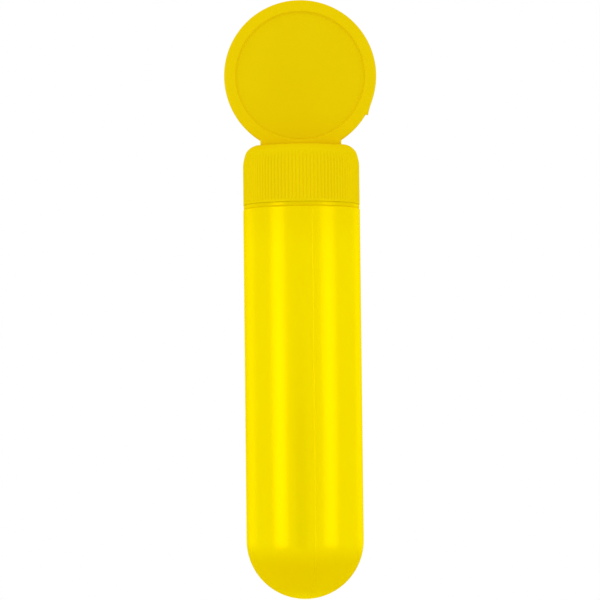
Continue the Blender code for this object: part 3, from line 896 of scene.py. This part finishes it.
# %% Disc body
DISC_STEPS = 720
PANEL_Y = DISC_HALF - PANEL_SINK
panel_step = rounded([
    (PANEL_RADIUS / 2, -PANEL_Y, 0),
    (PANEL_RADIUS - 0.45 * MM, -PANEL_Y, 0.15 * MM),
    (PANEL_RADIUS - 0.25 * MM, -PANEL_Y + 0.07 * MM, 0.1 * MM),
    (PANEL_RADIUS - 0.05 * MM, -PANEL_Y + 0.07 * MM, 0.08 * MM),
    (PANEL_RADIUS + 0.18 * MM, -DISC_HALF, 0.12 * MM),
    (PANEL_RADIUS + 0.33 * MM, -DISC_HALF, 0),
])
mesh = bmesh.new()
sections = []
for i in range(DISC_STEPS):
    angle = 2 * math.pi * i / DISC_STEPS - math.pi
    front = [*panel_step, *disc_edge(angle)]
    section = front + [(r, -y) for r, y in reversed(front)]
    sections.append([
        mesh.verts.new((r * math.cos(angle), y, DISC_CENTRE_Z + r * math.sin(angle))) for r, y in section
    ])
for i, section in enumerate(sections):
    following = sections[(i + 1) % DISC_STEPS]
    for k in range(len(section) - 1):
        mesh.faces.new((section[k], section[k + 1], following[k + 1], following[k]))
mesh.faces.new([section[0] for section in sections])
mesh.faces.new([section[-1] for section in sections])
disc = piece("grip_disc_body", mesh, disc_polypropylene)
tongue = block(
    "tongue", (TONGUE_WIDTH, TONGUE_THICKNESS), TONGUE_END_Z, FOOT_Z + 2 * OVERLAP, 0.2 * MM,
    disc_polypropylene,
)
combine(disc, "UNION", tongue)
print("disc:", len(disc.data.polygons), "faces", [round(side / MM, 2) for side in disc.dimensions])

# %% Darker panels
tree = disc_polypropylene.node_tree
place = add(tree, "ShaderNodeTexCoord").outputs["Object"]
spread = add(tree, "ShaderNodeVectorMath", {"operation": "MULTIPLY_ADD"}, {
    0: place, 1: (1, 0, 1), 2: (0, 0, -DISC_CENTRE_Z),
}).outputs[0]
from_centre = add(tree, "ShaderNodeVectorMath", {"operation": "LENGTH"}, {0: spread}).outputs["Value"]
# The pigment is deepened over both sunk panels, and more towards their middle.
deeper_panel_tone = fade(tree, from_centre, PANEL_RADIUS + 0.1 * MM, PANEL_RADIUS - 0.1 * MM, 0.7)
centre = fade(tree, from_centre, PANEL_RADIUS - 2 * MM, 0.0, 0.3)
deepen(disc_polypropylene, math_node(tree, "ADD", deeper_panel_tone, centre), "fafbff")
print("panels", round(2 * PANEL_RADIUS / MM, 1), "mm across")

# %% [markdown]
# ## The wand's ring
#
# The ring carries the film of soap solution, and its teeth hold a supply of liquid for it. The tool
# sweeps one rounded bar round a circle and instances one tooth 24 times by turning it about the
# ring's axis, then joins them with a Boolean inside the tree.

# %% Ring tool
ring_tool, given = new_tool("toothed ring", {
    "Ring radius": "Float", "Band": "Float", "Thickness": "Float", "Rounding": "Float",
    "Teeth": "Int", "Tooth width": "Float", "Tooth height": "Float", "Material": "Material",
})


def rounded_bar(tree, width, height, rounding):
    """A rectangle with rounded corners, as a profile curve."""
    plain = add(tree, "GeometryNodeCurvePrimitiveQuadrilateral", inputs={"Width": width, "Height": height})
    return add(tree, "GeometryNodeFilletCurve", {"mode": "POLY"}, {
        "Curve": plain.outputs[0], "Count": 4, "Radius": rounding,
    }).outputs[0]


half_band = math_node(ring_tool, "DIVIDE", given["Band"], 2.0)
middle = math_node(ring_tool, "SUBTRACT", given["Ring radius"], half_band)
hoop_line = add(ring_tool, "GeometryNodeCurvePrimitiveCircle", inputs={"Resolution": 96, "Radius": middle})
hoop = add(ring_tool, "GeometryNodeCurveToMesh", inputs={
    "Curve": hoop_line.outputs[0],
    "Profile Curve": rounded_bar(ring_tool, given["Band"], given["Thickness"], given["Rounding"]),
}).outputs[0]
full_height = math_node(ring_tool, "ADD", given["Thickness"], math_node(
    ring_tool, "MULTIPLY", given["Tooth height"], 2.0
))
inner = math_node(ring_tool, "SUBTRACT", given["Ring radius"], math_node(
    ring_tool, "SUBTRACT", given["Band"], given["Rounding"]
))
outer = math_node(ring_tool, "SUBTRACT", given["Ring radius"], given["Rounding"])
tooth_line = add(ring_tool, "GeometryNodeCurvePrimitiveLine", inputs={
    "Start": add(ring_tool, "ShaderNodeCombineXYZ", inputs={"X": inner}).outputs[0],
    "End": add(ring_tool, "ShaderNodeCombineXYZ", inputs={"X": outer}).outputs[0],
})
tooth = add(ring_tool, "GeometryNodeCurveToMesh", inputs={
    "Curve": tooth_line.outputs[0],
    "Profile Curve": rounded_bar(ring_tool, given["Tooth width"], full_height, given["Rounding"]),
    "Fill Caps": True,
}).outputs[0]
seats = add(ring_tool, "GeometryNodePoints", inputs={"Count": given["Teeth"]}).outputs[0]
number = add(ring_tool, "GeometryNodeInputIndex").outputs[0]
share = math_node(ring_tool, "DIVIDE", number, given["Teeth"])
turned_by = add(ring_tool, "ShaderNodeCombineXYZ", inputs={
    "Z": math_node(ring_tool, "MULTIPLY", share, 2 * math.pi),
}).outputs[0]
teeth = add(ring_tool, "GeometryNodeInstanceOnPoints", inputs={
    "Points": seats, "Instance": tooth, "Rotation": turned_by,
}).outputs[0]
toothed = add(ring_tool, "GeometryNodeMeshBoolean", {"operation": "UNION", "solver": "EXACT"}, {
    "Mesh 2": hoop,
})
ring_tool.links.new(
    add(ring_tool, "GeometryNodeRealizeInstances", inputs={0: teeth}).outputs[0], toothed.inputs["Mesh 2"]
)
close_tool(ring_tool, toothed.outputs["Mesh"], given["Material"])
print("ring tool:", len(ring_tool.nodes), "nodes")

# %% [markdown]
# ## The wand
#
# The stick has a cross section, which is stiff for little plastic and easy to mould. It tapers from
# 3.8 mm under the collar to 3 mm at the ring, the draft that lets it leave the mould. The collar stops
# the plug at the right depth, and the bead round the plug snaps into the socket's groove.

# %% Wand
LOOP_RADIUS = wand_high.x
LOOP_CENTRE_Z = wand_low.z + LOOP_RADIUS
COLLAR_TOP_Z = SOCKET_END_Z - SNUG
COLLAR_BASE_Z = COLLAR_TOP_Z - 0.9 * MM


def cross_outline(width, web):
    """The rounded outline of a plus-shaped section."""
    arm, half = width / 2, web / 2
    quarter = [(arm, -half, 0.25 * MM), (arm, half, 0.25 * MM), (half, half, 0.35 * MM)]
    corners = []
    for cos, sin in ((1, 0), (0, 1), (-1, 0), (0, -1)):
        corners += [(cos * x - sin * y, sin * x + cos * y, radius) for x, y, radius in quarter]
    return rounded(corners, closed=True)


mesh = bmesh.new()
ends = []
for width, up in ((3.0 * MM, LOOP_CENTRE_Z + LOOP_RADIUS - 1.2 * MM), (3.8 * MM, COLLAR_BASE_Z + 0.4 * MM)):
    ends.append([mesh.verts.new((x, y, up)) for x, y in cross_outline(width, 1.2 * MM)])
count = len(ends[0])
for k in range(count):
    mesh.faces.new((ends[0][k], ends[0][(k + 1) % count], ends[1][(k + 1) % count], ends[1][k]))
for end in ends:
    mesh.faces.new(end)
wand = piece("wand_stick_and_ring", mesh, wand_polypropylene)

plug = turned("plug", rounded([
    (0, COLLAR_BASE_Z, 0),
    (3.0 * MM, COLLAR_BASE_Z, 0.25 * MM),
    (3.0 * MM, COLLAR_TOP_Z, 0.2 * MM),
    (PLUG_RADIUS, COLLAR_TOP_Z, 0.15 * MM),
    (PLUG_RADIUS, SNAP_Z - 0.3 * MM, 0.1 * MM),
    (PLUG_RADIUS + 0.3 * MM, SNAP_Z, 0.15 * MM),
    (PLUG_RADIUS, SNAP_Z + 0.3 * MM, 0.1 * MM),
    (PLUG_RADIUS, SOCKET_ROOF_Z - SNUG, 0.35 * MM),
    (0, SOCKET_ROOF_Z - SNUG, 0),
]), 64, wand_polypropylene)

loop = piece("loop", bmesh.new(), wand_polypropylene)
run_tool(loop, ring_tool, {
    "Ring radius": LOOP_RADIUS, "Band": 2.4 * MM, "Thickness": 1.6 * MM, "Rounding": 0.25 * MM,
    "Teeth": 24, "Tooth width": 1.1 * MM, "Tooth height": 0.9 * MM, "Material": wand_polypropylene,
})
loop.data.transform(Matrix.Translation((0, 0, LOOP_CENTRE_Z)) @ Matrix.Rotation(math.pi / 2, 4, "X"))
combine(wand, "UNION", plug, loop)
print("wand:", len(wand.data.polygons), "faces", [round(side / MM, 2) for side in wand.dimensions])

# %% [markdown]
# ## Handing the pieces to the frame
#
# Each piece takes the place of one solid and moves with that solid's body.

# %% Pieces, bodies and slots
for made, node, body, slot in (
    (bottle, "bottle", "bottle", "glossy_bottle"),
    (sealing_ring, "sealing_ring", "seal", "soft_liner"),
    (wand, "wand", "wand", "matt_wand"),
    (cap, "screw_cap", "cap", "matt_cap"),
    (disc, "grip_disc", "cap", "matt_disc"),
):
    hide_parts(node)
    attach(made, body)
    print(made.name, "rides on", body)

# %% [markdown]
# ## Floor and light
#
# The object hangs in clean white light. Two tall soft boxes in front, left and right, draw the two
# upright bands on the bottle's gloss: a band's place on a cylinder tells the box's direction, at twice
# the angle of the surface there. Two weaker ones behind light the bottle's outer edges and its back,
# which the picture doesn't show.
# Their light reaches only the gloss. The even light that carries the colour comes from the world, a
# little stronger from above, so that no side goes dark.
#
# A glossy bottle also mirrors whatever stands at the camera. The dull strip in its middle, which deepens
# towards the bottom, is taken for that. A grey card behind the camera gives it, dark below, white on top.

# %% World
world = bpy.data.worlds.new("white studio")
bpy.context.scene.world = world
world.use_nodes = True
tree = world.node_tree
background = tree.nodes["Background"]
ray = add(tree, "ShaderNodeLightPath").outputs
direction = add(tree, "ShaderNodeTexCoord").outputs["Generated"]
slopes = add(tree, "ShaderNodeSeparateXYZ", inputs={0: direction}).outputs
from_above = add(tree, "ShaderNodeMapRange", inputs={
    "Value": slopes["Z"], "From Min": -0.6, "From Max": 0.9, "To Min": 0.86, "To Max": 1.06,
}).outputs["Result"]
seen = ray["Is Camera Ray"]
for kind in ("Is Glossy Ray", "Is Transmission Ray"):
    seen = math_node(tree, "MAXIMUM", seen, ray[kind])
shown = add(tree, "ShaderNodeMix", {"data_type": "FLOAT"}, {"Factor": seen, 2: from_above, 3: 1.0}).outputs[0]
tree.links.new(shown, background.inputs["Strength"])
background.inputs["Color"].default_value = colour("ffffff")
print("world:", len(tree.nodes), "nodes")

# %% Soft boxes
BOX_DISTANCE = 600 * MM
BOX_LOW = -200 * MM
BOX_HIGH = 330 * MM
BOX_SPREAD = math.radians(33)


def soft_box(name, middle_deg, half_deg, radiance):
    """A tall soft box at an angle from the camera's side, brightest in its middle, seen in gloss only."""
    width = 2 * BOX_DISTANCE * math.tan(math.radians(half_deg))
    height = BOX_HIGH - BOX_LOW
    light = bpy.data.lights.new(name, "AREA")
    light.shape = "RECTANGLE"
    light.size = width
    light.size_y = height
    light.spread = 2 * BOX_SPREAD
    light.energy = radiance * math.pi * width * height * (1 - BOX_SPREAD / math.tan(BOX_SPREAD))
    lamp = bpy.data.objects.new(name, light)
    bpy.context.scene.collection.objects.link(lamp)
    angle = math.radians(middle_deg)
    lamp.location = (
        BOX_DISTANCE * math.sin(angle), -BOX_DISTANCE * math.cos(angle), (BOX_LOW + BOX_HIGH) / 2
    )
    lamp.rotation_euler = (math.pi / 2, 0, angle)
    lamp.visible_diffuse = False
    lamp.visible_camera = False
    print(name, round(width / MM), "x", round(height / MM), "mm,", round(light.energy, 2), "W")


soft_box("left soft box", middle_deg=-48, half_deg=13.5, radiance=2.25)
soft_box("right soft box", middle_deg=52, half_deg=14, radiance=1.95)
soft_box("back left soft box", middle_deg=-125, half_deg=16, radiance=0.9)
soft_box("back right soft box", middle_deg=140, half_deg=16, radiance=0.9)

# %% Card at the camera
CARD_LEFT = -200 * MM
CARD_RIGHT = 50 * MM
CARD_LOW = -450 * MM
CARD_HIGH = 150 * MM
card_paint = bpy.data.materials.new("matt card, grey to white")
card_paint.use_nodes = True
tree = card_paint.node_tree
place = add(tree, "ShaderNodeTexCoord").outputs["Object"]
height = add(tree, "ShaderNodeSeparateXYZ", inputs={0: place}).outputs["Z"]
shades = add(tree, "ShaderNodeMix", {"data_type": "RGBA"}, {
    "Factor": fade(tree, height, -40 * MM, CARD_HIGH), 6: colour("8c8c8c"), 7: colour("ffffff"),
}).outputs[2]
tree.links.new(shades, tree.nodes["Principled BSDF"].inputs["Base Color"])
tree.nodes["Principled BSDF"].inputs["Roughness"].default_value = 0.9
mesh = bmesh.new()
corners = ((CARD_LEFT, CARD_LOW), (CARD_RIGHT, CARD_LOW), (CARD_RIGHT, CARD_HIGH), (CARD_LEFT, CARD_HIGH))
mesh.faces.new([mesh.verts.new((x, -CAMERA_DISTANCE - 20 * MM, z)) for x, z in corners])
card = piece("camera_card", mesh, card_paint)
card.visible_camera = False
card.visible_diffuse = False
card.visible_shadow = False
print("card", round((CARD_RIGHT - CARD_LEFT) / MM), "x", round((CARD_HIGH - CARD_LOW) / MM), "mm")

# %% Floor
FLOOR_RADIUS = 450 * MM
FLOOR_Z = -60 * MM
mesh = bmesh.new()
bmesh.ops.create_circle(mesh, cap_ends=True, segments=96, radius=FLOOR_RADIUS)
mesh.transform(Matrix.Translation((0, 0, FLOOR_Z)))
floor_paint = bpy.data.materials.new("matt white paint, studio floor")
floor_paint.use_nodes = True
floor_shader = floor_paint.node_tree.nodes["Principled BSDF"]
floor_shader.inputs["Base Color"].default_value = colour("f4f4f2")
floor_shader.inputs["Roughness"].default_value = 0.9
floor = piece("studio_floor", mesh, floor_paint)
print("floor", round(2 * FLOOR_RADIUS / MM), "mm across, at z", round(FLOOR_Z / MM), "mm")

# %% [markdown]
#
# Standard shows colours as written.

# %% Finish
bpy.context.scene.view_settings.view_transform = "Standard"
